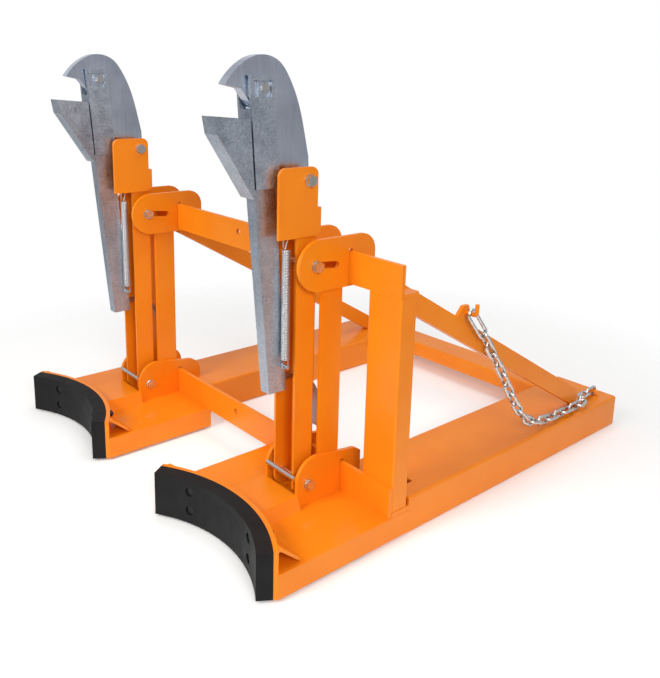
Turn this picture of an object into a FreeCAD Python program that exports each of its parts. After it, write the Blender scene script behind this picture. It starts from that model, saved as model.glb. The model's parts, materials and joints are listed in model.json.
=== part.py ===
import FreeCAD, Part
import math
import os

from FreeCAD import Vector

# Twin drum lifter for fork trucks. Millimetres, +Z up, +Y towards the truck, drums at -Y.
# Two like units stand side by side and are held together by flat cross bars. Each unit has a
# fork pocket, a base box with a padded saddle, a tilting mast arm and a beak clamp on top.

os.makedirs("parts", exist_ok=True)

# Driving dimensions of the whole lifter
unit_spacing = 600.0
drum_radius = 295.0
drum_axis_y = -375.0
pocket_width = 166.0
pocket_height = 75.0
pocket_wall = 5.0
pocket_back = 946.0
pocket_offset_right = 100.0
pocket_offset_left = 28.0
tongue_length = 95.0

# Base box and saddle
base_half_width = 184.0
base_height = 45.0
base_wall = 5.0
saddle_height = 86.0
saddle_half_chord = 162.5
pad_thickness = 28.0
saddle_thickness = 8.0
fit_gap = 0.3
pad_bolt_angle = 18.5
spine_half_width = 50.0
spine_height = 25.0
spine_bevel = 12.0
gusset_width = 55.0
gusset_run = 42.0
gusset_thickness = 5.0

# Bracket plates and uprights, measured from the unit's middle plane
plate_outer = 50.0
plate_thickness = 8.0
lower_plate_front = 46.0
lower_plate_back = 212.0
lower_plate_top = 141.0
upper_plate_front = 42.0
upper_plate_back = 222.0
upper_plate_bottom = 457.0
upper_plate_height = 94.0
upright_front = 102.0
upright_thickness = 8.0
upright_top = 488.0

# Flat cross bars and the outboard post
bar_thickness = 8.0
bar_height = 60.0
lower_bar_front = 150.0
bar_hole = 14.0
bar_overhang = 14.0
bar_slot_gap = 0.5
bar_notch = 4.0
post_width = 80.0
post_depth = 40.0
post_wall = 4.0
post_top = 462.0
cap_thickness = 8.0
cap_overhang = 5.0
foot_thickness = 10.0
bar_end_inset = 1.5

# Rear tie bar and braces
tie_depth = 80.0
tie_height = 40.0
tie_wall = 4.0
tie_back_inset = 26.0
brace_height = 38.0
brace_thickness = 20.0
brace_wall = 3.0
brace_foot_y = 812.0
brace_slope = 0.58

# Mast arm, its pivot and its slot bolt
pivot_y = 72.0
pivot_z = 90.0
arm_half_width = 30.0
arm_front = 52.0
arm_depth = 42.0
arm_wall = 5.0
arm_bottom = 62.0
arm_top = 606.0
bolt_diameter = 12.0
bolt_fit = 0.05
slot_bolt_y = 80.0
slot_bolt_z = 505.0
tilt_max = 6.5
slot_clearance = 0.4
web_window_bottom = 130.0
web_window_top = 330.0
bracket_wall = 6.0
bracket_front = 8.0
bracket_back = 92.0
bracket_bottom = 556.0
bracket_top = 677.0
head_pivot_y = 72.0
head_pivot_z = 654.0

# Beak and jaw lever
beak_thickness = 20.0
jaw_pivot_y = -8.0
jaw_pivot_z = 806.0
jaw_bolt = 10.0
head_half_width = 20.0
head_wall = 6.0
head_front_top = -40.0
head_depth_top = 46.0
head_top = 826.0
head_bottom = 643.0
head_front_bottom = -27.0
head_depth_bottom = 50.0
channel_half_width = 12.0
channel_wall = 4.0
channel_bottom = 272.0
channel_front_bottom = 8.0
channel_depth_bottom = 38.0
channel_depth_top = 44.0
window_height = 26.0
window_width = 38.0
window_below_top = 8.0
jaw_tip_y = -105.0
jaw_tip_z = 762.0
jaw_lip = 28.0
jaw_root_z = 757.0
jaw_foot_z = 627.0
jaw_wall = 5.0
tail_thickness = 8.0
tail_radius = 80.0
tail_bottom = 175.0
tail_side_gap = 0.2

# Spring and small parts
spring_outer = 16.0
spring_wire = 2.5
spring_x = 21.0
spring_y = 36.0
spring_bottom = 334.0
spring_top = 536.0
spring_pin = 6.0
spring_pin_low = 322.0
spring_pin_high = 564.0
spring_pin_fit = 0.05
stop_rod = 10.0
stop_rod_z = 106.0
chain_wire = 7.0
chain_pitch = 31.4
chain_length = 46.0
chain_width = 24.0
rod_diameter = 8.0

# Chain hook and eye
hook_y = 372.0
hook_rise = 18.0
hook_plate = 8.0
hook_reach = 26.0
chain_side = 24.0
chain_slack = 1.5
snap_width = 26.0
eye_y = 908.0

# Values worked out from the driving dimensions
sides = {"left": -unit_spacing / 2, "right": unit_spacing / 2}
base_bottom = pocket_wall
base_top = base_bottom + base_height
lower_bar_back = lower_bar_front + bar_thickness
post_front = lower_bar_back
post_back = post_front + post_depth
upper_bar_front = post_front - 1.0
upper_bar_back = upper_bar_front + bar_thickness
post_right = unit_spacing / 2 + base_half_width - bar_end_inset
post_left = post_right - post_width
chain_x = post_left + post_width / 2
eye_rise = chain_width / 2 + fit_gap
pad_outer = drum_radius + pad_thickness
saddle_inner = pad_outer + fit_gap
saddle_outer = saddle_inner + saddle_thickness
saddle_angle = math.degrees(math.asin(saddle_half_chord / drum_radius))
saddle_bottom = base_bottom
saddle_top = saddle_bottom + saddle_height
saddle_back_y = drum_axis_y + saddle_outer
base_back = {"left": lower_bar_back, "right": post_back + cap_overhang}
pocket_offset = {"left": pocket_offset_left, "right": pocket_offset_right}
plate_inner = plate_outer - plate_thickness
upright_back = lower_bar_front
upright_inner = plate_inner - upright_thickness
arm_back = arm_front + arm_depth
bracket_half_width = arm_half_width + bracket_wall
rear_tie_front = pocket_back - tie_back_inset - tie_depth
brace_drop = brace_height * math.sqrt(1 + brace_slope ** 2)
saddle_tip_y = drum_axis_y + drum_radius * math.cos(math.radians(saddle_angle))
middle_y = (saddle_tip_y + pocket_back) / 2
slot_radius = math.hypot(slot_bolt_y - pivot_y, slot_bolt_z - pivot_z)
slot_start = math.degrees(math.atan2(slot_bolt_y - pivot_y, slot_bolt_z - pivot_z))


def box(x0, x1, y0, y1, z0, z1):
    return Part.makeBox(x1 - x0, y1 - y0, z1 - z0, Vector(x0, y0, z0))


def rod_x(y, z, radius, x0, x1):
    return Part.makeCylinder(radius, x1 - x0, Vector(x0, y, z), Vector(1, 0, 0))


def rod_z(x, y, radius, z0, z1):
    return Part.makeCylinder(radius, z1 - z0, Vector(x, y, z0), Vector(0, 0, 1))


def side_face(edges):
    return Part.Face(Part.Wire(edges))


def extrude_x(face, x0, x1):
    solid = face.extrude(Vector(x1 - x0, 0, 0))
    solid.translate(Vector(x0, 0, 0))
    return solid


def polygon_yz(points, x0, x1):
    ring = [Vector(0, y, z) for y, z in points]
    return extrude_x(Part.Face(Part.makePolygon(ring + ring[:1])), x0, x1)


def arc_yz(a, b, c):
    points = [Vector(0, y, z) for y, z in (a, b, c)]
    return Part.Arc(*points).toShape()


def line_yz(a, b):
    return Part.makeLine(Vector(0, a[0], a[1]), Vector(0, b[0], b[1]))


def round_edges(solid, radius, chosen):
    edges = [edge for edge in solid.Edges if chosen(edge)]
    return solid.makeFillet(radius, edges)


def along(edge, axis):
    direction = edge.lastVertex().Point.sub(edge.firstVertex().Point)
    return direction.Length > 0 and abs(direction.normalize().dot(axis)) > 0.999


def group(shapes):
    return Part.makeCompound(shapes)


def hexagon_x(y, z, across, x0, x1):
    radius = across / math.sqrt(3)
    corners = []
    for index in range(6):
        angle = math.radians(60 * index + 30)
        corners.append((y + radius * math.cos(angle), z + radius * math.sin(angle)))
    return polygon_yz(corners, x0, x1)


def bolt_x(y, z, diameter, grip_left, grip_right):
    # Hexagon bolt along X, with its head on the right and its nut and thread end on the left
    head = 0.65 * diameter
    nut = 0.8 * diameter
    across = 1.5 * diameter
    washer = 0.2 * diameter
    shank = rod_x(y, z, diameter / 2, grip_left - washer - nut - 0.25 * diameter, grip_right + washer)
    solid = shank.fuse(hexagon_x(y, z, across, grip_right + washer, grip_right + washer + head))
    solid = solid.fuse(rod_x(y, z, 0.9 * diameter, grip_right, grip_right + washer))
    solid = solid.fuse(rod_x(y, z, 0.9 * diameter, grip_left - washer, grip_left))
    nut_end = grip_left - washer
    return solid.fuse(hexagon_x(y, z, across, nut_end - nut, nut_end)).removeSplitter()


def ring_sector(inner, outer, half_angle, z0, z1):
    # Upright curved plate about the drum's axis, opened towards the drum
    edges = []
    for radius, turn in ((inner, 1), (outer, -1)):
        points = []
        for part in (-1, 0, 1):
            angle = math.radians(90 + turn * part * half_angle)
            points.append(Vector(radius * math.cos(angle), drum_axis_y + radius * math.sin(angle), z0))
        edges.append(Part.Arc(*points).toShape())
    first = edges[0]
    second = edges[1]
    joins = [Part.makeLine(first.lastVertex().Point, second.firstVertex().Point),
             Part.makeLine(second.lastVertex().Point, first.firstVertex().Point)]
    wire = Part.Wire(Part.__sortEdges__([first, joins[0], second, joins[1]]))
    return Part.Face(wire).extrude(Vector(0, 0, z1 - z0))


def save(name, shape, side=None):
    # The row's origin is under the middle of the whole lifter, on the floor
    placed = shape.copy()
    placed.translate(Vector(0, -middle_y, 0))
    if side is not None:
        placed.translate(Vector(sides[side], 0, 0))
        name = side + "_" + name
    placed.exportStep("parts/" + name + ".step")


def rect_tube(x0, x1, y0, y1, z0, z1, wall, axis, corner):
    # Welded rectangular tube with rounded corners along one axis
    outer = box(x0, x1, y0, y1, z0, z1)
    outer = round_edges(outer, corner, lambda edge: along(edge, axis))
    grow = [0.0 if component else wall for component in (axis.x, axis.y, axis.z)]
    inner = box(x0 + grow[0], x1 - grow[0], y0 + grow[1], y1 - grow[1], z0 + grow[2], z1 - grow[2])
    return outer.cut(inner)


# Fork pockets: welded sleeves whose floor plate runs on under the base box
def fork_pocket(side):
    middle = pocket_offset[side]
    x0 = middle - pocket_width / 2
    x1 = middle + pocket_width / 2
    front = base_back[side]
    sleeve = rect_tube(x0, x1, front, pocket_back, 0, pocket_height, pocket_wall,
                       Vector(0, 1, 0), pocket_wall)
    tongue = box(x0 + pocket_wall, x1 - pocket_wall, front - tongue_length, front + 1,
                 0, pocket_wall)
    if side == "right":
        notch_edge = x1 - 38.0
        notch = box(notch_edge - 60, notch_edge, front - 1, front + 50, pocket_wall * 2, 200)
        sleeve = sleeve.cut(notch)
    return sleeve.fuse(tongue).removeSplitter()


# Base box: folded plate with its rim down, curved in front to take the saddle
def base_box(side):
    front = saddle_tip_y - 5
    outer = box(-base_half_width, base_half_width, front, base_back[side], base_bottom, base_top)
    inner = box(-base_half_width + base_wall, base_half_width - base_wall, front - 1,
                base_back[side] - base_wall, base_bottom - 1, base_top - base_wall)
    drum = rod_z(0, drum_axis_y, saddle_outer, 0, 300)
    ends = box(-400, 400, front - 50, drum_axis_y + saddle_outer * math.cos(math.radians(saddle_angle)),
               -10, 300)
    return outer.cut(inner).cut(drum).cut(ends)


def saddle_plate():
    plate = ring_sector(saddle_inner, saddle_outer, saddle_angle, saddle_bottom, saddle_top)
    return plate.cut(group(pad_holes(4.5)))


def pad_places():
    places = []
    for angle in (-pad_bolt_angle, pad_bolt_angle):
        for share in (0.3, 0.75):
            places.append((angle, saddle_bottom + share * saddle_height))
    return places


def radial_rod(angle, z, radius, r0, r1):
    direction = Vector(math.sin(math.radians(angle)), math.cos(math.radians(angle)), 0)
    start = Vector(0, drum_axis_y, z).add(Vector(direction).multiply(r0))
    return Part.makeCylinder(radius, r1 - r0, start, direction)


def pad_holes(radius):
    return [radial_rod(angle, z, radius, drum_radius - 1, saddle_outer + 1)
            for angle, z in pad_places()]


def saddle_pad():
    pad = ring_sector(drum_radius, pad_outer, saddle_angle, saddle_bottom, saddle_top)
    sinks = [radial_rod(angle, z, 9.0, drum_radius - 1, drum_radius + 7)
             for angle, z in pad_places()]
    return pad.cut(group(pad_holes(4.5))).cut(group(sinks))


def pad_bolts():
    bolts = []
    for angle, z in pad_places():
        shank = radial_rod(angle, z, 4.0, drum_radius + 3, saddle_outer + 9)
        head = radial_rod(angle, z, 8.0, drum_radius + 3, drum_radius + 7)
        nut = radial_rod(angle, z, 7.5, saddle_outer, saddle_outer + 6.5)
        bolts.append(shank.fuse(head).fuse(nut).removeSplitter())
    return group(bolts)


# Spine: folded strip from the saddle to the bracket plates, on top of the base box
def base_spine():
    x = spine_half_width
    profile = [(-x - spine_bevel, base_top), (-x, base_top + spine_height),
               (x, base_top + spine_height), (x + spine_bevel, base_top)]
    y0 = saddle_back_y - 6
    ring = [Vector(px, y0, pz) for px, pz in profile]
    block = Part.Face(Part.makePolygon(ring + ring[:1])).extrude(Vector(0, lower_plate_front - y0, 0))
    wall = 5.0
    hollow = box(-x + wall, x - wall, y0 - 1, lower_plate_front + 1, base_top - 1,
                 base_top + spine_height - wall)
    return block.cut(hollow).cut(rod_z(0, drum_axis_y, saddle_outer, 0, 300))


# Saddle gussets: sloping corner plates from the saddle's rim down to the base box
def saddle_gussets():
    plates = []
    for turn in (-1, 1):
        x1 = turn * (saddle_half_chord + 14)
        x0 = x1 - turn * gusset_width
        y0 = drum_axis_y + saddle_outer * math.cos(math.radians(saddle_angle))
        back = y0 + gusset_run + 12
        slope = [(y0, saddle_top - gusset_thickness - 1), (y0, saddle_top - 1),
                 (y0 + 12, saddle_top - 1), (back + 4, base_top), (back - 4, base_top),
                 (y0 + 9, saddle_top - gusset_thickness - 1)]
        plate = polygon_yz(slope, min(x0, x1), max(x0, x1))
        plates.append(plate.cut(rod_z(0, drum_axis_y, saddle_outer, 0, 300)))
    return group(plates)


def bar_slot(front, z0, z1):
    gap = bar_slot_gap
    return box(-100, 100, front - gap, front + bar_thickness + gap, z0 - gap, z1 + bar_notch)


# Lower bracket plates: rounded ears on the base box that carry the mast pivot
def lower_brackets(side):
    z0 = base_top
    z1 = lower_plate_top
    r = 44.0
    y0 = lower_plate_front
    y1 = lower_plate_back
    s = math.sqrt(0.5)
    rear_r = 36.0
    drop = 12.0
    edges = [line_yz((y0, z0), (y0, z1 - r)),
             arc_yz((y0, z1 - r), (y0 + r - r * s, z1 - r + r * s), (y0 + r, z1)),
             line_yz((y0 + r, z1), (y1 - rear_r, z1 - drop)),
             arc_yz((y1 - rear_r, z1 - drop), (y1 - rear_r + rear_r * s, z1 - drop - rear_r + rear_r * s),
                    (y1, z1 - drop - rear_r)),
             line_yz((y1, z1 - drop - rear_r), (y1, z0)),
             line_yz((y1, z0), (y0, z0))]
    face = side_face(edges)
    plates = []
    for x0 in (-plate_outer, plate_inner):
        plate = extrude_x(face, x0, x0 + plate_thickness)
        plate = plate.cut(bar_slot(lower_bar_front, base_top + bar_slot_gap, base_top + bar_height))
        plate = plate.cut(rod_x(pivot_y, pivot_z, bolt_diameter / 2 + bolt_fit, -100, 100))
        plate = plate.cut(box(-100, 100, base_back[side] - 0.2, 400, 0, pocket_height))
        if side == "right":
            plate = plate.cut(box(-100, 100, base_back[side] - 0.2, 400, 0, 400))
        plates.append(plate)
    return group(plates)


def slot_point(degrees, radius):
    angle = math.radians(slot_start + degrees)
    return (pivot_y + radius * math.sin(angle), pivot_z + radius * math.cos(angle))


def tilt_slot():
    # Curved slot about the lower bolt, as long as the arm's tilt
    half = bolt_diameter / 2 + slot_clearance
    ring = rod_x(pivot_y, pivot_z, slot_radius + half, -100, 100)
    ring = ring.cut(rod_x(pivot_y, pivot_z, slot_radius - half, -101, 101))
    wedge = polygon_yz([(pivot_y, pivot_z), slot_point(0, slot_radius * 2),
                        slot_point(tilt_max, slot_radius * 2)], -100, 100)
    slot = ring.common(wedge)
    for degrees in (0, tilt_max):
        y, z = slot_point(degrees, slot_radius)
        slot = slot.fuse(rod_x(y, z, half, -100, 100))
    return slot


# Upper bracket plates: long rounded cheeks with the tilt slot and the bar slot
def upper_brackets():
    z0 = upper_plate_bottom
    z1 = z0 + upper_plate_height
    r = upper_plate_height / 2
    y0 = upper_plate_front
    y1 = upper_plate_back
    s = math.sqrt(0.5)
    rr = 34.0
    edges = [arc_yz((y0 + r, z0), (y0, z0 + r), (y0 + r, z1)),
             line_yz((y0 + r, z1), (y1 - rr, z1)),
             arc_yz((y1 - rr, z1), (y1 - rr + rr * s, z1 - rr + rr * s), (y1, z1 - rr)),
             line_yz((y1, z1 - rr), (y1, z0 + 20)),
             line_yz((y1, z0 + 20), (y1 - 20, z0)),
             line_yz((y1 - 20, z0), (y0 + r, z0))]
    face = side_face(edges)
    slot = tilt_slot()
    plates = []
    for x0 in (-plate_outer, plate_inner):
        plate = extrude_x(face, x0, x0 + plate_thickness).cut(slot)
        plates.append(plate.cut(bar_slot(upper_bar_front, post_top, post_top + bar_height)))
    return group(plates)


def uprights():
    bars = []
    for x0 in (-plate_inner, upright_inner):
        bars.append(box(x0, x0 + upright_thickness, upright_front, upright_back, base_top, upright_top))
    return group(bars)


# Cross bars: flat bars on edge through both units' brackets, with a pin hole at the middle
def cross_bar(front, z0):
    x0 = -unit_spacing / 2 - plate_outer - bar_overhang
    bar = box(x0, post_right, front, front + bar_thickness, z0, z0 + bar_height)
    hole = Part.makeCylinder(bar_hole / 2, 100, Vector(0, front - 50, z0 + 0.6 * bar_height),
                             Vector(0, 1, 0))
    return bar.cut(hole)


def end_post():
    return rect_tube(post_left, post_right, post_front, post_back, base_top + foot_thickness, post_top,
                     post_wall, Vector(0, 0, 1), post_wall)


def post_cap():
    cap = box(post_left, post_right + 1, upper_bar_back, post_back + cap_overhang, post_top,
              post_top + cap_thickness)
    cap = round_edges(cap, 6.0, lambda edge: along(edge, Vector(0, 0, 1))
                      and edge.CenterOfMass.y > post_back)
    return cap


def post_foot():
    return box(post_left - 4, post_right + 1, post_front, base_back["right"], base_top,
               base_top + foot_thickness)


def rear_cross_bar():
    x0 = sides["left"] + pocket_offset_left + pocket_width / 2
    x1 = sides["right"] + pocket_offset_right - pocket_width / 2
    return rect_tube(x0, x1, rear_tie_front, rear_tie_front + tie_depth, pocket_height - tie_height,
                     pocket_height, tie_wall, Vector(1, 0, 0), tie_wall)


# Braces: box tube from the brackets or the post down to the rear of each pocket
def brace(start, x0):
    def lower_edge(y):
        return pocket_height + (brace_foot_y - y) * brace_slope
    tip = brace_foot_y
    tube = []
    for inset in (0.0, brace_wall):
        rise = inset * math.sqrt(1 + brace_slope ** 2)
        run = 0.0 if inset == 0.0 else 1.0
        a = start - run
        b = tip + run
        bottom = [(a, lower_edge(a) + rise), (b, lower_edge(b) + rise)]
        top = [(b, lower_edge(b) + brace_drop - rise), (a, lower_edge(a) + brace_drop - rise)]
        tube.append(polygon_yz(bottom + top, x0 + inset, x0 + brace_thickness - inset))
    return tube[0].cut(tube[1])


def brace_top(y):
    return pocket_height + (brace_foot_y - y) * brace_slope + brace_drop


# Mast arm: folded channel, open to the front, that tilts about the lower bolt
def mast_arm():
    outer = box(-arm_half_width, arm_half_width, arm_front, arm_back, arm_bottom, arm_top)
    outer = round_edges(outer, 18.0, lambda edge: along(edge, Vector(1, 0, 0)))
    inner = box(-arm_half_width + arm_wall, arm_half_width - arm_wall, arm_front - 1,
                arm_back - arm_wall, arm_bottom - 1, arm_top + 1)
    arm = outer.cut(inner)
    window = box(-15, 15, arm_front, arm_back + 10, web_window_bottom, web_window_top)
    arm = arm.cut(window)
    for y, z in ((pivot_y, pivot_z), (slot_bolt_y, slot_bolt_z)):
        arm = arm.cut(rod_x(y, z, bolt_diameter / 2 + bolt_fit, -100, 100))
    return arm


def pivot_bushes():
    # Spacer tubes between the arm and the lower plates
    gap = 0.2
    tubes = []
    for x0, x1 in ((-plate_inner + gap, -arm_half_width - gap), (arm_half_width + gap, plate_inner - gap)):
        tube = rod_x(pivot_y, pivot_z, 11.0, x0, x1)
        tubes.append(tube.cut(rod_x(pivot_y, pivot_z, bolt_diameter / 2 + bolt_fit, -100, 100)))
    return group(tubes)


def pivot_bolt():
    bolt = bolt_x(pivot_y, pivot_z, bolt_diameter, -plate_outer, plate_outer)
    return bolt


def slot_bolt():
    gap = 0.3
    return bolt_x(slot_bolt_y, slot_bolt_z, bolt_diameter, -plate_outer - gap, plate_outer + gap)


def slot_bushes():
    gap = 0.3
    tubes = []
    for x0, x1 in ((-plate_inner + gap, -arm_half_width), (arm_half_width, plate_inner - gap)):
        tube = rod_x(slot_bolt_y, slot_bolt_z, 10.0, x0, x1)
        tubes.append(tube.cut(rod_x(slot_bolt_y, slot_bolt_z, bolt_diameter / 2 + bolt_fit, -100, 100)))
    return group(tubes)


def stop_rod_piece():
    y = arm_front - fit_gap - stop_rod / 2
    return rod_x(y, stop_rod_z, stop_rod / 2, -plate_inner, plate_inner)


# Head bracket: fork plates on the mast arm's top that hold the beak's pivot
def head_bracket():
    cheeks = []
    for x0 in (-bracket_half_width, arm_half_width):
        cheek = box(x0, x0 + bracket_wall, bracket_front, bracket_back, bracket_bottom, bracket_top)
        cheek = round_edges(cheek, 14.0, lambda edge: along(edge, Vector(1, 0, 0))
                            and edge.CenterOfMass.z > bracket_top - 1)
        cheeks.append(cheek.cut(rod_x(head_pivot_y, head_pivot_z, bolt_diameter / 2 + bolt_fit, -100, 100)))
    solid = cheeks[0].fuse(cheeks[1])
    web = box(-bracket_half_width, bracket_half_width, arm_back, arm_back + bracket_wall,
              bracket_bottom + 4, arm_top)
    pin = rod_x(spring_y, spring_pin_high, spring_pin / 2, channel_half_width + 1, arm_half_width + 1)
    web = web.fuse(box(-bracket_half_width, -arm_half_width, bracket_back - 1, arm_back + 1,
                       bracket_bottom + 4, arm_top))
    web = web.fuse(box(arm_half_width, bracket_half_width, bracket_back - 1, arm_back + 1,
                       bracket_bottom + 4, arm_top))
    return solid.fuse(web).fuse(pin).removeSplitter()


def head_spacers():
    # Tubes that centre the beak between the fork plates
    gap = 0.2
    half = beak_thickness / 2
    tubes = []
    for x0, x1 in ((-arm_half_width + gap, -half - gap), (half + gap, arm_half_width - gap)):
        tube = rod_x(head_pivot_y, head_pivot_z, 10.0, x0, x1)
        tubes.append(tube.cut(rod_x(head_pivot_y, head_pivot_z, bolt_diameter / 2 + bolt_fit, -100, 100)))
    return group(tubes)


def head_bolt():
    return bolt_x(head_pivot_y, head_pivot_z, bolt_diameter, -bracket_half_width, bracket_half_width)


# Beak: thick plate with a hooked tip, a long curved back and a foot round its pivot
def beak():
    tip = (-80.0, 811.0)
    roof = (-51.0, 805.0)
    crown = (-9.0, 858.5)
    back_top = (44.0, 828.0)
    back_low = (90.0, 692.0)
    s = math.sqrt(0.5)
    foot_r = 20.0
    outline = [Vector(0, *tip), Vector(0, -52, 841), Vector(0, *crown), Vector(0, 28, 847),
               Vector(0, *back_top), Vector(0, 70, 772), Vector(0, *back_low)]
    curve = Part.BSplineCurve()
    curve.interpolate(outline)
    foot_right = (head_pivot_y + foot_r, head_pivot_z)
    foot_left = (head_pivot_y - foot_r, head_pivot_z)
    foot_low = (head_pivot_y, head_pivot_z - foot_r)
    throat = (-22.0, 700.0)
    mouth = (-27.0, 776.0)
    edges = [curve.toShape(), line_yz(back_low, foot_right),
             arc_yz(foot_right, (head_pivot_y + foot_r * s, head_pivot_z - foot_r * s), foot_low),
             arc_yz(foot_low, (head_pivot_y - foot_r * s, head_pivot_z - foot_r * s), foot_left),
             line_yz(foot_left, (foot_left[0] - 8, 672.0)),
             line_yz((foot_left[0] - 8, 672.0), throat),
             line_yz(throat, mouth),
             line_yz(mouth, roof),
             line_yz(roof, tip)]
    plate = extrude_x(side_face(edges), -beak_thickness / 2, beak_thickness / 2)
    plate = plate.cut(rod_x(head_pivot_y, head_pivot_z, bolt_diameter / 2 + bolt_fit, -50, 50))
    return plate.cut(rod_x(jaw_pivot_y, jaw_pivot_z, jaw_bolt / 2 + bolt_fit, -50, 50))


# Jaw lever: folded head box over the beak, a hollow lower jaw and a long channel with a tail
def lever_front(z):
    share = (head_bottom - z) / (head_bottom - channel_bottom)
    return head_front_bottom + share * (channel_front_bottom - head_front_bottom)


def jaw_lever():
    head = [(head_front_top, head_top), (head_front_top + head_depth_top, head_top),
            (head_front_bottom + head_depth_bottom, head_bottom), (head_front_bottom, head_bottom)]
    outer = polygon_yz(head, -head_half_width, head_half_width)
    inner = [(head_front_top + head_wall, head_top + 1), (head_front_top + head_depth_top + 30, head_top + 1),
             (head_front_bottom + head_depth_bottom + 30, head_bottom - 1),
             (head_front_bottom + head_wall, head_bottom - 1)]
    side = head_half_width - head_wall
    solid = outer.cut(polygon_yz(inner, -side, side))
    mouth = box(-side, side, head_front_top - 5, head_front_top + head_wall + 4, 772,
                head_top + 1)
    solid = solid.cut(mouth)

    x = channel_half_width
    depth = channel_depth_bottom
    bottom_y = channel_front_bottom
    channel = [(lever_front(head_bottom), head_bottom + 12),
               (head_front_bottom + channel_depth_top, head_bottom + 12),
               (bottom_y + depth, channel_bottom), (bottom_y, channel_bottom)]
    tube = polygon_yz(channel, -x, x)
    core = [(lever_front(head_bottom) + channel_wall, head_bottom + 13),
            (head_front_bottom + channel_depth_top + 20, head_bottom + 13),
            (bottom_y + depth + 20, channel_bottom - 1), (bottom_y + channel_wall, channel_bottom - 1)]
    tube = tube.cut(polygon_yz(core, -x + channel_wall, x - channel_wall))
    shoulder = [(head_front_bottom, head_bottom), (head_front_bottom + head_depth_bottom - 6, head_bottom),
                (head_front_bottom + head_depth_bottom - 6, head_bottom + 6),
                (head_front_bottom, head_bottom + 6)]
    floor = polygon_yz(shoulder, -head_half_width, head_half_width)
    floor = floor.cut(box(-x + channel_wall, x - channel_wall, head_front_bottom + channel_wall,
                          100, 600, 700))

    half = head_half_width - 1
    root_y = -38.0
    wedge = [(jaw_tip_y, jaw_tip_z), (root_y, jaw_root_z), (head_front_bottom - 2, jaw_foot_z + 10),
             (head_front_bottom - 4, jaw_foot_z), (jaw_tip_y + 5, jaw_tip_z - jaw_lip)]
    jaw = polygon_yz(wedge, -half, half)
    wall = jaw_wall
    hollow = [(jaw_tip_y + wall, jaw_tip_z + 1), (root_y + 20, jaw_tip_z + 1),
              (head_front_bottom + 10, jaw_foot_z + 34), (head_front_bottom - 6, jaw_foot_z + 30),
              (jaw_tip_y + wall + 6, jaw_tip_z - jaw_lip + 4)]
    jaw = jaw.cut(polygon_yz(hollow, -half + wall, half - wall))
    jaw = jaw.cut(polygon_yz(inner, -side, side))
    solid = solid.fuse(tube).fuse(floor).fuse(jaw)

    # The two windows in the head box leave the pivot bolt open to view
    bosses = []
    for x0, x1 in ((-head_half_width - 1, -side + 1), (side - 1, head_half_width + 1)):
        middle = head_front_top + head_depth_top / 2 + 1
        window = box(x0, x1, middle - window_width / 2, middle + window_width / 2,
                     head_top - window_below_top - window_height, head_top - window_below_top)
        solid = solid.cut(window)
    for turn in (-1, 1):
        a = turn * (beak_thickness / 2 + 0.3)
        b = turn * side
        lug = polygon_yz([(jaw_pivot_y - 12, jaw_pivot_z - 26), (jaw_pivot_y + 12, jaw_pivot_z - 26),
                          (jaw_pivot_y + 12, jaw_pivot_z + 14), (jaw_pivot_y - 12, jaw_pivot_z + 14)],
                         min(a, b), max(a, b))
        bosses.append(lug)
    for lug in bosses:
        solid = solid.fuse(lug)
    solid = solid.cut(rod_x(jaw_pivot_y, jaw_pivot_z, jaw_bolt / 2 + bolt_fit, -60, 60))
    pin = rod_x(spring_y, spring_pin_low, spring_pin / 2, channel_half_width - 1, arm_half_width)
    return solid.fuse(pin).removeSplitter()


def jaw_bolt_piece():
    # Countersunk-length pivot whose head and nut sit inside the head box windows
    lug = head_half_width - head_wall
    shank = rod_x(jaw_pivot_y, jaw_pivot_z, jaw_bolt / 2, -lug - 6, lug)
    shank = shank.fuse(hexagon_x(jaw_pivot_y, jaw_pivot_z, 15.0, lug, lug + 5.5))
    return shank.fuse(hexagon_x(jaw_pivot_y, jaw_pivot_z, 15.0, -lug - 5.5, -lug)).removeSplitter()


# Release tail: curved strap from the lever's foot back through the mast and down
def lever_tail():
    top = channel_bottom + 26.0
    r = tail_radius
    t = tail_thickness
    half = channel_half_width - channel_wall - tail_side_gap
    cy = channel_front_bottom + channel_depth_bottom + 6
    cz = top - r
    s = math.sqrt(0.5)
    front = channel_front_bottom + channel_wall + 4
    end = (cy + r - t / 2, tail_bottom)
    edges = [arc_yz((cy, top), (cy + r * s, cz + r * s), (cy + r, cz)),
             line_yz((cy + r, cz), (cy + r, tail_bottom + t / 2)),
             arc_yz((cy + r, tail_bottom + t / 2), end, (cy + r - t, tail_bottom + t / 2)),
             line_yz((cy + r - t, tail_bottom + t / 2), (cy + r - t, cz)),
             arc_yz((cy + r - t, cz), (cy + (r - t) * s, cz + (r - t) * s), (cy, top - t)),
             line_yz((cy, top - t), (front, top - t)),
             line_yz((front, top - t), (front, top)),
             line_yz((front, top), (cy, top))]
    return extrude_x(side_face(edges), -half, half)


# Extension spring: its coil as one tube, with a long loop over the pin at each end
def spring_loop(pin_z, coil_end, turn):
    reach = (spring_outer - spring_wire) / 2
    slack = reach - spring_wire / 2 - spring_pin / 2 - spring_pin_fit
    bend_z = pin_z - turn * slack
    places = [Vector(spring_x, spring_y - reach, coil_end), Vector(spring_x, spring_y - reach, bend_z),
              Vector(spring_x, spring_y, bend_z + turn * reach),
              Vector(spring_x, spring_y + reach, bend_z), Vector(spring_x, spring_y + reach, coil_end)]
    path = Part.Wire([Part.makeLine(places[0], places[1]), Part.Arc(*places[1:4]).toShape(),
                      Part.makeLine(places[3], places[4])])
    profile = Part.Wire([Part.makeCircle(spring_wire / 2, places[0], Vector(0, 0, 1))])
    return path.makePipeShell([profile], True, True)


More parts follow.
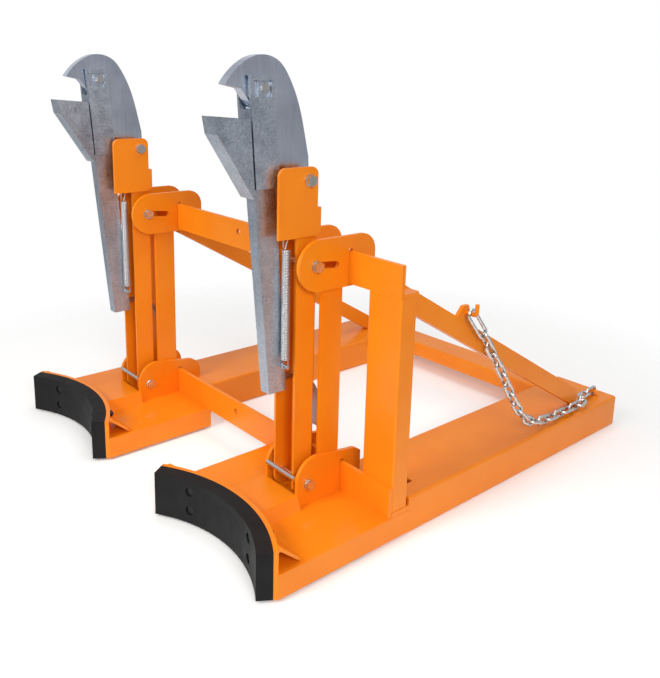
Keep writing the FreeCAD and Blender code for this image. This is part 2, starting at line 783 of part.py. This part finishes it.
def spring_body():
    outer = rod_z(spring_x, spring_y, spring_outer / 2, spring_bottom, spring_top)
    core = rod_z(spring_x, spring_y, spring_outer / 2 - spring_wire, spring_bottom - 1, spring_top + 1)
    coil = outer.cut(core)
    return group([coil, spring_loop(spring_pin_low, spring_bottom, -1),
                  spring_loop(spring_pin_high, spring_top, 1)])


def rod_path(points, diameter, bend):
    # Bent round bar: straight runs joined by tangent arcs of one radius
    corners = [Vector(*point) for point in points]
    edges = []
    cursor = corners[0]
    for before, corner, after in zip(corners, corners[1:], corners[2:]):
        a = before.sub(corner).normalize()
        b = after.sub(corner).normalize()
        half = a.getAngle(b) / 2
        run = bend / math.tan(half)
        first = corner.add(Vector(a).multiply(run))
        last = corner.add(Vector(b).multiply(run))
        middle_way = a.add(b).normalize()
        centre = corner.add(Vector(middle_way).multiply(bend / math.sin(half)))
        middle = centre.sub(Vector(middle_way).multiply(bend))
        edges.append(Part.makeLine(cursor, first))
        edges.append(Part.Arc(first, middle, last).toShape())
        cursor = last
    edges.append(Part.makeLine(cursor, corners[-1]))
    wire = Part.Wire(edges)
    start = corners[0]
    direction = corners[1].sub(start).normalize()
    profile = Part.Wire([Part.makeCircle(diameter / 2, start, direction)])
    return wire.makePipeShell([profile], True, True)


# Safety chain gear on the outboard brace and pocket
def chain_hook():
    # Lug on the brace with a pin that turns up at its end
    base = brace_top(hook_y)
    face = chain_x + brace_thickness / 2
    lug = polygon_yz([(hook_y - 24, brace_top(hook_y - 24)), (hook_y - 8, base + hook_rise + 14),
                      (hook_y + 8, base + hook_rise + 14), (hook_y + 20, brace_top(hook_y + 20))],
                     face - hook_plate, face)
    rod = rod_path([(face - hook_plate / 2, hook_y, base + hook_rise),
                    (face + hook_reach, hook_y, base + hook_rise),
                    (face + hook_reach, hook_y, base + hook_rise + 22)], rod_diameter, 7.0)
    return lug.fuse(rod).removeSplitter()


def chain_eye():
    r = 11.0
    z = pocket_height
    points = [(chain_x - r, eye_y, z), (chain_x - r, eye_y, z + eye_rise),
              (chain_x + r, eye_y, z + eye_rise), (chain_x + r, eye_y, z)]
    return rod_path(points, rod_diameter, r - 0.5)


def chain_link(centre, forward, flat_side, length, width, wire):
    # One stadium-shaped link; forward is its long direction and flat_side lies in its plane
    f = Vector(forward).normalize()
    s = Vector(flat_side)
    s = s.sub(Vector(f).multiply(s.dot(f))).normalize()
    r = (width - wire) / 2
    half = (length - wire) / 2 - r

    def at(a, b):
        return centre.add(Vector(f).multiply(a)).add(Vector(s).multiply(b))
    edges = [Part.makeLine(at(0, r), at(half, r)),
             Part.Arc(at(half, r), at(half + r, 0), at(half, -r)).toShape(),
             Part.makeLine(at(half, -r), at(-half, -r)),
             Part.Arc(at(-half, -r), at(-half - r, 0), at(-half, r)).toShape(),
             Part.makeLine(at(-half, r), at(0, r))]
    profile = Part.Wire([Part.makeCircle(wire / 2, at(0, r), f)])
    return Part.Wire(edges).makePipeShell([profile], True, True)


def chain_centres(route, pitch):
    # Places at equal steps along a polyline, from its last point backwards
    places = []
    points = [Vector(*point) for point in reversed(route)]
    index = 0
    here = points[0]
    left = 0.0
    while True:
        gap = points[index + 1].sub(here)
        if gap.Length >= left:
            here = here.add(gap.normalize().multiply(left))
            places.append(here)
            left = pitch
        else:
            left -= gap.Length
            index += 1
            here = points[index]
            if index + 1 >= len(points):
                return places


def chain_places():
    lie = pocket_height + chain_width / 2 + fit_gap + chain_slack
    hang_x = chain_x + chain_side
    grip = (chain_length - chain_wire) / 2 - chain_wire / 2 - rod_diameter / 2 - 0.4
    route = [(hang_x, hook_y + 20, brace_top(hook_y)),
             (hang_x, hook_y + 69, brace_top(hook_y) - 70),
             (hang_x, hook_y + 108, brace_top(hook_y) - 122),
             (hang_x, hook_y + 168, brace_top(hook_y) - 213),
             (hang_x, hook_y + 213, brace_top(hook_y) - 262),
             (hang_x, hook_y + 252, lie + 8),
             (hang_x, hook_y + 300, lie),
             (hang_x, brace_foot_y + 10, lie),
             (chain_x, eye_y - 62, pocket_height + eye_rise),
             (chain_x, eye_y - grip, pocket_height + eye_rise)]
    places = chain_centres(route, chain_pitch)
    return places[:len(places) // 2 * 2]


def safety_chain():
    places = chain_places()
    links = []
    for index, place in enumerate(places):
        before = places[max(index - 1, 0)]
        after = places[min(index + 1, len(places) - 1)]
        forward = before.sub(after)
        across = Vector(1, 0, 0)
        side = forward.cross(across) if index % 2 == 0 else across
        links.append(chain_link(place, forward, side, chain_length, chain_width, chain_wire))
    return group(links)


def snap_hook():
    # Long snap link between the hook's pin and the first chain link
    places = chain_places()
    last = places[-1]
    up = last.sub(places[-2]).normalize()
    grip = chain_length / 2 - 1.5 * chain_wire - fit_gap
    low = last.add(up.multiply(grip))
    lift = (rod_diameter + chain_wire) / 2 + 0.4
    pin = Vector(low.x, hook_y, brace_top(hook_y) + hook_rise)
    lean = pin.sub(low).normalize()
    top = pin.add(lean.multiply(lift))
    way = low.sub(top)
    centre = top.add(Vector(way).multiply(0.5))
    return chain_link(centre, way, way.cross(Vector(1, 0, 0)), way.Length + chain_wire, snap_width,
                      chain_wire)


def build():
    for side in ("left", "right"):
        save("fork_pocket", fork_pocket(side), side)
        save("base_box", base_box(side), side)
        save("saddle_plate", saddle_plate(), side)
        save("saddle_pad", saddle_pad(), side)
        save("pad_bolts", pad_bolts(), side)
        save("base_spine", base_spine(), side)
        save("saddle_gussets", saddle_gussets(), side)
        save("lower_brackets", lower_brackets(side), side)
        save("upper_brackets", upper_brackets(), side)
        save("uprights", uprights(), side)
        save("mast_arm", mast_arm(), side)
        save("pivot_bushes", pivot_bushes(), side)
        save("pivot_bolt", pivot_bolt(), side)
        save("slot_bolt", slot_bolt(), side)
        save("slot_bushes", slot_bushes(), side)
        save("stop_rod", stop_rod_piece(), side)
        save("head_bracket", head_bracket(), side)
        save("head_spacers", head_spacers(), side)
        save("head_bolt", head_bolt(), side)
        save("beak", beak(), side)
        save("jaw_lever", jaw_lever(), side)
        save("jaw_bolt", jaw_bolt_piece(), side)
        save("lever_tail", lever_tail(), side)
        save("spring", spring_body(), side)
    save("upper_cross_bar", cross_bar(upper_bar_front, post_top))
    save("lower_cross_bar", cross_bar(lower_bar_front, base_top))
    save("rear_cross_bar", rear_cross_bar())
    save("end_post", end_post())
    save("post_cap", post_cap())
    save("post_foot", post_foot())
    save("left_brace", brace(upper_bar_back + 1, sides["left"] + plate_inner - brace_thickness))
    save("right_brace", brace(post_back, chain_x - brace_thickness / 2).cut(post_cap()))
    save("chain_hook", chain_hook())
    save("chain_eye", chain_eye())
    save("safety_chain", safety_chain())
    save("snap_hook", snap_hook())


build()
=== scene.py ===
import math

import bmesh
import bpy
from mathutils import Matrix, Vector
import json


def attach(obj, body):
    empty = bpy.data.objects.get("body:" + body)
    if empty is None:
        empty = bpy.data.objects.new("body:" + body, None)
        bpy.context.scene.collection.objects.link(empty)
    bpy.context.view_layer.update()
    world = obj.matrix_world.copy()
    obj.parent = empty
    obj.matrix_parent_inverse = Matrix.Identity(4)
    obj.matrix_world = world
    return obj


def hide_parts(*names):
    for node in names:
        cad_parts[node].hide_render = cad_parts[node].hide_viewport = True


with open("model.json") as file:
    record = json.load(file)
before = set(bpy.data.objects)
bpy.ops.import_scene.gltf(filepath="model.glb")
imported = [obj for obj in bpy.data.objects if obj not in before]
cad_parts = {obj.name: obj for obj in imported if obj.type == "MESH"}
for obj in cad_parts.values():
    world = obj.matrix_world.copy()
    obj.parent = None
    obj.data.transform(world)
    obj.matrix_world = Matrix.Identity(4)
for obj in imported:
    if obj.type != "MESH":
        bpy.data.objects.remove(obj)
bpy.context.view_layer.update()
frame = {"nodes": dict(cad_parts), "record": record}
nodes = frame["nodes"]
record = frame["record"]
slot_of = {part["node"]: part["material_slot"] for part in record["subparts"]}

# Camera: the photograph's place, turn, tilt and lens, in the row frame.
# The image is 660 wide and 678 high, and the lens is given in pixels.
ROW_SHIFT = 0.408604
IMAGE_WIDTH = 660
IMAGE_HEIGHT = 678
FOCAL_PIXELS = 770.75
CENTRE_PIXEL = (333.89, 255.07)
CAMERA_PLACE = (1.33655, -0.76268 - ROW_SHIFT, 0.83253)
CAMERA_YAW = math.radians(48.19)
CAMERA_PITCH = math.radians(-13.29)
CAMERA_ROLL = math.radians(1.58)

forward = Vector((-math.sin(CAMERA_YAW) * math.cos(CAMERA_PITCH),
                  math.cos(CAMERA_YAW) * math.cos(CAMERA_PITCH),
                  math.sin(CAMERA_PITCH)))
level = Vector((math.cos(CAMERA_YAW), math.sin(CAMERA_YAW), 0.0))
plumb = level.cross(forward)
right = level * math.cos(CAMERA_ROLL) + plumb * math.sin(CAMERA_ROLL)
up = plumb * math.cos(CAMERA_ROLL) - level * math.sin(CAMERA_ROLL)

camera_data = bpy.data.cameras.new("camera")
camera_data.sensor_width = 36.0
camera_data.lens = FOCAL_PIXELS * camera_data.sensor_width / IMAGE_HEIGHT
camera_data.shift_x = (IMAGE_WIDTH / 2 - CENTRE_PIXEL[0]) / IMAGE_HEIGHT
camera_data.shift_y = (CENTRE_PIXEL[1] - IMAGE_HEIGHT / 2) / IMAGE_HEIGHT
camera_data.clip_start = 0.05
camera = bpy.data.objects.new("camera", camera_data)
camera.matrix_world = Matrix.Translation(CAMERA_PLACE) @ Matrix((right, up, -forward)).transposed().to_4x4()
bpy.context.scene.collection.objects.link(camera)
bpy.context.scene.camera = camera


# Shader maths: sockets that add and multiply, and one method that makes a node.
class Sock:
    def __init__(self, tree, socket):
        self.tree = tree
        self.socket = socket

    def math(self, operation, other):
        node = self.tree.nodes.new("ShaderNodeMath")
        node.operation = operation
        self.tree.links.new(self.socket, node.inputs[0])
        if isinstance(other, Sock):
            self.tree.links.new(other.socket, node.inputs[1])
        else:
            node.inputs[1].default_value = other
        return Sock(self.tree, node.outputs[0])

    def __add__(self, other):
        return self.math("ADD", other)

    def __sub__(self, other):
        return self.math("SUBTRACT", other)

    def __mul__(self, other):
        return self.math("MULTIPLY", other)

    def clamped(self, low, high):
        return self.math("MAXIMUM", low).math("MINIMUM", high)


class Paint:
    def __init__(self, name, **constants):
        self.material = bpy.data.materials.new(name)
        self.material.use_nodes = True
        self.tree = self.material.node_tree
        self.shader = self.tree.nodes["Principled BSDF"]
        for key, value in constants.items():
            self.shader.inputs[key.replace("_", " ")].default_value = value
        self.place = self.tree.nodes.new("ShaderNodeTexCoord").outputs["Object"]

    def node(self, kind, output, **inputs):
        made = self.tree.nodes.new(kind)
        for key, value in inputs.items():
            target = made.inputs[key.replace("_", " ")]
            if isinstance(value, Sock):
                self.tree.links.new(value.socket, target)
            elif isinstance(value, bpy.types.NodeSocket):
                self.tree.links.new(value, target)
            else:
                target.default_value = value
        return Sock(self.tree, made.outputs[output])

    def noise(self, scale, detail=3.0, stretch=None):
        where = self.place
        if stretch:
            where = self.node("ShaderNodeMapping", "Vector", Vector=self.place, Scale=stretch).socket
        return self.node("ShaderNodeTexNoise", 0, Vector=where, Scale=scale, Detail=detail)

    def mix(self, factor, first, second):
        made = self.tree.nodes.new("ShaderNodeMix")
        made.data_type = "RGBA"
        self.tree.links.new(factor.socket, made.inputs["Factor"])
        for name, value in (("A", first), ("B", second)):
            target = [entry for entry in made.inputs if entry.name == name and entry.type == "RGBA"][0]
            if isinstance(value, Sock):
                self.tree.links.new(value.socket, target)
            else:
                target.default_value = value
        result = [entry for entry in made.outputs if entry.type == "RGBA"][0]
        return Sock(self.tree, result)

    def drive(self, name, value):
        self.tree.links.new(value.socket, self.shader.inputs[name])

    def bump(self, height, strength, distance):
        made = self.node("ShaderNodeBump", "Normal", Height=height, Strength=strength, Distance=distance)
        self.drive("Normal", made)


# Materials: gloss orange paint, two zinc finishes, zinc bolts and chain, spring wire, rubber, and pad bolts
# painted near black as painted shade for their deep recesses.
# Noise scales are in turns per metre and bump distances in metres.
orange = Paint("orange paint", Coat_Weight=0.14, Coat_Roughness=0.12, IOR=1.32)
patches = orange.noise(9.0, 4.0)
orange.drive("Base Color", orange.mix(((patches - 0.35) * 2.2).clamped(0.0, 1.0),
                                      (0.85, 0.225, 0.006, 1.0), (0.90, 0.265, 0.008, 1.0)))
orange.drive("Roughness", orange.noise(60.0, 2.0) * 0.16 + 0.26)
orange.bump(orange.noise(260.0, 2.0) * 0.6 + orange.noise(22.0, 2.0), 0.22, 0.0012)

lever = Paint("zinc lever", Metallic=1.0)
cells = lever.node("ShaderNodeTexVoronoi", "Color", Vector=lever.place, Scale=420.0)
cloud = lever.noise(30.0, 5.0)
streak = lever.noise(26.0, 3.0, (1.0, 1.0, 0.22))
shade = (cells * 0.45 + cloud * 0.5 + streak * 0.7 - 0.3).clamped(0.0, 1.0)
lever.drive("Base Color", lever.mix(shade, (0.24, 0.28, 0.33, 1.0), (0.70, 0.77, 0.86, 1.0)))
lever.drive("Roughness", cloud * 0.28 + cells * 0.1 + 0.16)
lever.bump(lever.noise(70.0, 4.0) + cells * 0.25, 0.35, 0.0014)

plate = Paint("zinc beak", Metallic=1.0)
grain = plate.noise(40.0, 4.0, (1.0, 6.0, 0.35))
blotch = plate.noise(14.0, 4.0)
plate.drive("Base Color", plate.mix((grain * 0.5 + blotch * 0.6).clamped(0.0, 1.0),
                                    (0.42, 0.47, 0.57, 1.0), (0.80, 0.87, 0.97, 1.0)))
plate.drive("Roughness", blotch * 0.22 + 0.12)
plate.bump(grain + blotch * 2.0, 0.3, 0.0012)

zinc = Paint("zinc bolt", Metallic=1.0)
zinc.drive("Base Color", zinc.mix(zinc.noise(120.0), (0.50, 0.50, 0.50, 1.0), (0.86, 0.85, 0.82, 1.0)))
zinc.drive("Roughness", zinc.noise(200.0) * 0.2 + 0.16)

wire = Paint("spring wire", Metallic=1.0)
wire.drive("Base Color", wire.mix(wire.noise(90.0), (0.54, 0.55, 0.56, 1.0), (0.66, 0.67, 0.68, 1.0)))
wire.drive("Roughness", wire.noise(60.0) * 0.1 + 0.34)

rubber = Paint("pad rubber", IOR=1.3)
rubber.drive("Base Color", rubber.mix(rubber.noise(25.0, 4.0), (0.003, 0.003, 0.004, 1.0),
                                      (0.012, 0.012, 0.012, 1.0)))
rubber.drive("Roughness", rubber.noise(40.0, 4.0) * 0.25 + 0.5)
rubber.bump(rubber.noise(500.0, 3.0) + rubber.noise(30.0, 3.0) * 1.5, 0.25, 0.0008)

# Pad bolts: near black, painted shade that stands in for the shade of their deep recesses.
recess_shade_bolt = Paint("pad bolt painted shade", Metallic=0.4, Roughness=0.5, Base_Color=(0.012, 0.012, 0.013, 1.0))

finish = {"black_bolts": recess_shade_bolt, "orange_paint": orange, "lever_metal": lever, "beak_metal": plate, "bolts": zinc,
          "zinc_chain": zinc, "spring_steel": wire, "pad_rubber": rubber}


# CAD pieces: each takes its slot's material, and all but the small parts get a small edge radius with hardened
# normals.
# Folded and cast pieces have rounder edges than sawn plate.
EDGE_RADIUS = {"jaw_lever": 0.0022, "saddle_pad": 0.0030, "beak": 0.0018, "fork_pocket": 0.0010,
               "end_post": 0.0012, "base_box": 0.0018, "base_spine": 0.0020}
PLAIN_EDGE = 0.0009
SMALL_PARTS = ("safety_chain", "snap_hook", "chain_eye", "spring")

for name, piece in nodes.items():
    piece.data.materials.clear()
    piece.data.materials.append(finish[slot_of[name]].material)
    kind = name.split("_", 1)[1] if name.startswith(("left_", "right_")) else name
    if name in SMALL_PARTS or kind in SMALL_PARTS:
        continue
    edge = piece.modifiers.new("edge", "BEVEL")
    edge.width = EDGE_RADIUS.get(kind, PLAIN_EDGE)
    edge.segments = 2
    edge.limit_method = "ANGLE"
    edge.angle_limit = math.radians(42.0)
    edge.harden_normals = True
    edge.use_clamp_overlap = True


# Springs: close-wound wire with a straight loop at each end, in place of the CAD's tubes.
COIL_RADIUS = 0.00675
WIRE_RADIUS = 0.00125
COIL_BOTTOM = 0.334
COIL_TOP = 0.536
COIL_PITCH = 0.00285
STEPS_PER_TURN = 20
SPRING_SIDE = 0.021
SPRING_DEPTH = 0.036 - ROW_SHIFT
LOOP_LOW = 0.32445
LOOP_HIGH = 0.56155
LOOP_POINTS = 7
LOOP_STEP = math.radians(30)
LOW_LOOP_START = LOOP_LOW + 0.006
HIGH_LOOP_END = COIL_TOP + 0.004

for side, middle in (("left", -0.3), ("right", 0.3)):
    turns = (COIL_TOP - COIL_BOTTOM) / COIL_PITCH
    path = []
    for step in range(LOOP_POINTS):
        angle = LOOP_STEP * step
        path.append((0.0, COIL_RADIUS * math.cos(angle), LOOP_LOW - COIL_RADIUS * math.sin(angle)))
    path.reverse()
    path[0] = (0.0, -COIL_RADIUS * 0.9, LOW_LOOP_START)
    for step in range(int(turns * STEPS_PER_TURN)):
        angle = 2 * math.pi * step / STEPS_PER_TURN
        rise = COIL_BOTTOM + WIRE_RADIUS + (COIL_TOP - COIL_BOTTOM - 2 * WIRE_RADIUS) * step / (
            turns * STEPS_PER_TURN)
        path.append((COIL_RADIUS * math.sin(angle), COIL_RADIUS * math.cos(angle), rise))
    for step in range(LOOP_POINTS):
        angle = LOOP_STEP * step
        path.append((0.0, COIL_RADIUS * math.cos(angle), LOOP_HIGH + COIL_RADIUS * math.sin(angle)))
    path.append((0.0, -COIL_RADIUS, HIGH_LOOP_END))
    curve = bpy.data.curves.new("spring path", "CURVE")
    curve.dimensions = "3D"
    curve.bevel_depth = WIRE_RADIUS
    curve.bevel_resolution = 2
    curve.use_fill_caps = True
    line = curve.splines.new("POLY")
    line.points.add(len(path) - 1)
    for point, (x, y, z) in zip(line.points, path):
        point.co = (x + middle + SPRING_SIDE, y + SPRING_DEPTH, z, 1.0)
    guide = bpy.data.objects.new("spring guide", curve)
    bpy.context.scene.collection.objects.link(guide)
    mesh = bpy.data.meshes.new_from_object(guide.evaluated_get(bpy.context.evaluated_depsgraph_get()))
    bpy.data.objects.remove(guide)
    coil = bpy.data.objects.new(side + "_coil_spring", mesh)
    bpy.context.scene.collection.objects.link(coil)
    mesh.materials.clear()
    mesh.materials.append(wire.material)
    mesh.polygons.foreach_set("use_smooth", [True] * len(mesh.polygons))
    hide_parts(side + "_spring")
    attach(coil, side + "_mast")


# Light: a soft key from the camera's left, a lamp on the camera's side and a broad top light.
def soft_lamp(name, place, target, size, power, tint):
    lamp = bpy.data.lights.new(name, "AREA")
    lamp.shape = "DISK"
    lamp.size = size
    lamp.energy = power
    lamp.color = tint
    holder = bpy.data.objects.new(name, lamp)
    holder.matrix_world = Matrix.Translation(place) @ (Vector(place) - Vector(target)).to_track_quat(
        "Z", "Y").to_matrix().to_4x4()
    bpy.context.scene.collection.objects.link(holder)


soft_lamp("key", (0.1, -2.6, 1.9), (0.0, 0.0, 0.35), 1.2, 46.0, (1.0, 0.97, 0.93))
soft_lamp("camera side", (2.3, -1.3, 1.5), (0.0, 0.0, 0.3), 0.9, 30.0, (1.0, 0.98, 0.95))
soft_lamp("top", (0.2, 0.2, 2.8), (0.0, 0.0, 0.2), 2.0, 22.0, (1.0, 1.0, 1.0))


# Backdrop: white to the camera, a darker room in reflections, and a pale floor that keeps the shadow.
world = bpy.data.worlds.new("studio")
bpy.context.scene.world = world
world.use_nodes = True
tree = world.node_tree
tree.nodes.clear()
output = tree.nodes.new("ShaderNodeOutputWorld")
path_node = tree.nodes.new("ShaderNodeLightPath")
direction = tree.nodes.new("ShaderNodeTexCoord").outputs["Generated"]
split = tree.nodes.new("ShaderNodeSeparateXYZ")
tree.links.new(direction, split.inputs[0])
ramp = tree.nodes.new("ShaderNodeValToRGB")
ramp.color_ramp.elements[0].position = 0.30
ramp.color_ramp.elements[0].color = (0.55, 0.55, 0.56, 1.0)
ramp.color_ramp.elements[1].position = 1.0
ramp.color_ramp.elements[1].color = (0.95, 0.96, 1.0, 1.0)
for position, value in ((0.46, 0.28), (0.56, 0.42), (0.66, 0.80), (0.8, 0.42)):
    entry = ramp.color_ramp.elements.new(position)
    entry.color = (value, value, value * 1.04, 1.0)
half_up = tree.nodes.new("ShaderNodeMath")
half_up.operation = "MULTIPLY_ADD"
half_up.inputs[1].default_value = 0.5
half_up.inputs[2].default_value = 0.5
tree.links.new(split.outputs["Z"], half_up.inputs[0])
tree.links.new(half_up.outputs[0], ramp.inputs[0])
room = tree.nodes.new("ShaderNodeBackground")
room.inputs["Strength"].default_value = 1.0
tree.links.new(ramp.outputs[0], room.inputs["Color"])
wash = tree.nodes.new("ShaderNodeBackground")
wash.inputs["Color"].default_value = (1.0, 1.0, 1.0, 1.0)
wash.inputs["Strength"].default_value = 0.42
white = tree.nodes.new("ShaderNodeBackground")
white.inputs["Color"].default_value = (1.0, 1.0, 1.0, 1.0)
white.inputs["Strength"].default_value = 1.0
glossy_mix = tree.nodes.new("ShaderNodeMixShader")
tree.links.new(path_node.outputs["Is Glossy Ray"], glossy_mix.inputs[0])
tree.links.new(wash.outputs[0], glossy_mix.inputs[1])
tree.links.new(room.outputs[0], glossy_mix.inputs[2])
camera_mix = tree.nodes.new("ShaderNodeMixShader")
tree.links.new(path_node.outputs["Is Camera Ray"], camera_mix.inputs[0])
tree.links.new(glossy_mix.outputs[0], camera_mix.inputs[1])
tree.links.new(white.outputs[0], camera_mix.inputs[2])
tree.links.new(camera_mix.outputs[0], output.inputs["Surface"])

FLOOR_HALF = 12.0
FLOOR_DROP = 0.0005
FADE_START = 0.60
FADE_RATE = 1.4

floor_mesh = bpy.data.meshes.new("floor")
shape = bmesh.new()
bmesh.ops.create_grid(shape, x_segments=1, y_segments=1, size=FLOOR_HALF)
shape.to_mesh(floor_mesh)
shape.free()
floor = bpy.data.objects.new("floor", floor_mesh)
bpy.context.scene.collection.objects.link(floor)
floor.location.z = -FLOOR_DROP
floor_paint = Paint("floor", Roughness=0.9, Base_Color=(0.93, 0.93, 0.93, 1.0))
floor_paint.shader.inputs["Specular IOR Level"].default_value = 0.0
floor_paint.shader.inputs["Emission Color"].default_value = (1.0, 1.0, 1.0, 1.0)
floor_paint.shader.inputs["Emission Strength"].default_value = 0.08
# The floor thins out with distance, so that it has no visible edge against the white.
reach = floor_paint.tree.nodes.new("ShaderNodeVectorMath")
reach.operation = "LENGTH"
floor_paint.tree.links.new(floor_paint.place, reach.inputs[0])
fade = ((Sock(floor_paint.tree, reach.outputs["Value"]) - FADE_START) * FADE_RATE).clamped(0.0, 1.0)
clear = floor_paint.tree.nodes.new("ShaderNodeBsdfTransparent")
blend = floor_paint.tree.nodes.new("ShaderNodeMixShader")
floor_paint.tree.links.new(fade.socket, blend.inputs[0])
floor_paint.tree.links.new(floor_paint.shader.outputs[0], blend.inputs[1])
floor_paint.tree.links.new(clear.outputs[0], blend.inputs[2])
floor_paint.tree.links.new(blend.outputs[0], floor_paint.tree.nodes["Material Output"].inputs["Surface"])
floor.data.materials.append(floor_paint.material)

bpy.context.scene.view_settings.view_transform = "Standard"
bpy.context.scene.view_settings.look = "None"
